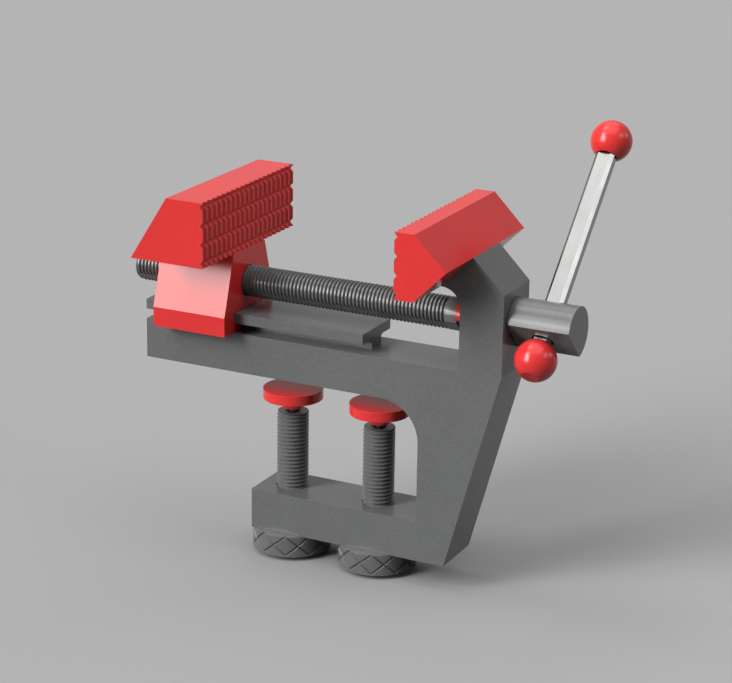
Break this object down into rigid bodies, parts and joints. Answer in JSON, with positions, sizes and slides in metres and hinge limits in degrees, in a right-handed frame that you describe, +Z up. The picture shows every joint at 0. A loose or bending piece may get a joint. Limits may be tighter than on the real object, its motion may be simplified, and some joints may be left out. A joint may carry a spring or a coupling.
{
  "type": "bench vise with table clamp",
  "caption": "Small bench vise: serrated jaws closed by a lead screw with a sliding T-bar handle, on a C-shaped frame held to a table edge by screw clamps.",
  "frame": {"origin": "on the frame's lower beam face that rests on the table top, below the middle of the jaw gap", "axes": "+Z up, +X along the lead screw towards the handle, -Y the front"},
  "size_m": [0.2343, 0.1286, 0.2198],
  "materials": {
    "grey_plastic": "printed, fine matt",
    "red_plastic": "printed, satin",
    "steel_bar": "ground",
    "steel_pin": "turned and blackened"
  },
  "bodies": {
    "frame": {"c_frame": "grey_plastic", "fixed_jaw": "red_plastic", "fixed_jaw_dowel_front": "steel_pin", "fixed_jaw_dowel_back": "steel_pin"},
    "spindle": {"lead_screw": "grey_plastic", "retaining_clip": "red_plastic"},
    "handle": {"handle_bar": "steel_bar", "handle_ball_upper": "red_plastic", "handle_ball_lower": "red_plastic"},
    "jaw_carriage": {"jaw_slider": "red_plastic", "moving_jaw": "red_plastic", "moving_jaw_dowel_front": "steel_pin", "moving_jaw_dowel_back": "steel_pin"},
    "clamp_pad_left": {"pressure_pad_left": "red_plastic", "swivel_stud_left": "steel_pin"},
    "clamp_spindle_left": {"clamp_screw_left": "grey_plastic", "clamp_knob_left": "grey_plastic"},
    "clamp_pad_right": {"pressure_pad_right": "red_plastic", "swivel_stud_right": "steel_pin"},
    "clamp_spindle_right": {"clamp_screw_right": "grey_plastic", "clamp_knob_right": "grey_plastic"}
  },
  "joints": [
    {"name": "lead_screw_turn", "type": "hinge", "parent": "frame", "child": "spindle", "pos_m": [0.1, 0, 0.043], "axis": [-1, 0, 0], "range_deg": [-1728, 17892]},
    {"name": "handle_slide", "type": "slide", "parent": "spindle", "child": "handle", "axis": [0, 0.7071, 0.7071], "range_m": [-0.082, 0.0012]},
    {"name": "jaw_slide", "type": "slide", "parent": "frame", "child": "jaw_carriage", "axis": [1, 0, 0], "range_m": [-0.0097, 0.0995]},
    {"name": "pad_slide_left", "type": "slide", "parent": "frame", "child": "clamp_pad_left", "axis": [0, 0, 1], "range_m": [-0.0461, 0.0001]},
    {"name": "clamp_screw_turn_left", "type": "hinge", "parent": "clamp_pad_left", "child": "clamp_spindle_left", "pos_m": [-0.0252, 0, -0.05], "axis": [0, 0, 1], "range_deg": [-8280, 0]},
    {"name": "pad_slide_right", "type": "slide", "parent": "frame", "child": "clamp_pad_right", "axis": [0, 0, 1], "range_m": [-0.0461, 0.0001]},
    {"name": "clamp_screw_turn_right", "type": "hinge", "parent": "clamp_pad_right", "child": "clamp_spindle_right", "pos_m": [0.0224, 0, -0.05], "axis": [0, 0, 1], "range_deg": [-8280, 0]}
  ],
  "couplings": [
    {"joint": "jaw_slide", "follows": "lead_screw_turn", "m_per_rad": 0.00031831},
    {"joint": "pad_slide_left", "follows": "clamp_screw_turn_left", "m_per_rad": 0.00031831},
    {"joint": "pad_slide_right", "follows": "clamp_screw_turn_right", "m_per_rad": 0.00031831}
  ]
}
